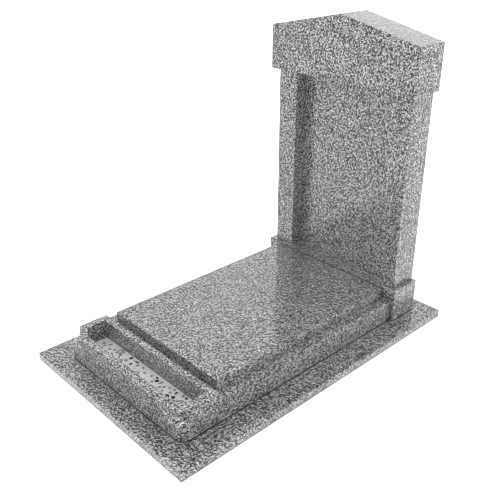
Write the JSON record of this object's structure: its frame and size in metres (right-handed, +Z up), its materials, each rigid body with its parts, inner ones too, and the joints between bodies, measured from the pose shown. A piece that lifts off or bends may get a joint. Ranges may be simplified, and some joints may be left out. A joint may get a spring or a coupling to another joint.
{
  "type": "grave monument",
  "caption": "Granite grave monument: flat slab, kerb with a planter trough at its foot, ledger, and a headstone with side pillars, a sunk bare panel and a gabled cap.",
  "frame": {"origin": "middle of the ground slab's underside", "axes": "+Z up, -Y towards the planter and the visitor, +X to the visitor's right"},
  "size_m": [1.2, 1.9, 1.6565],
  "materials": {
    "granite": "polished, salt-and-pepper grain",
    "chip_bed": "honed, pale with dark chips"
  },
  "bodies": {
    "root": {"base_slab": "granite", "kerb_with_planter": "granite", "ledger": "granite", "stele_plinth": "granite", "left_pillar": "granite", "right_pillar": "granite", "stele_panel": "granite", "pediment_cap": "granite", "planter_bed": "chip_bed"}
  },
  "joints": []
}
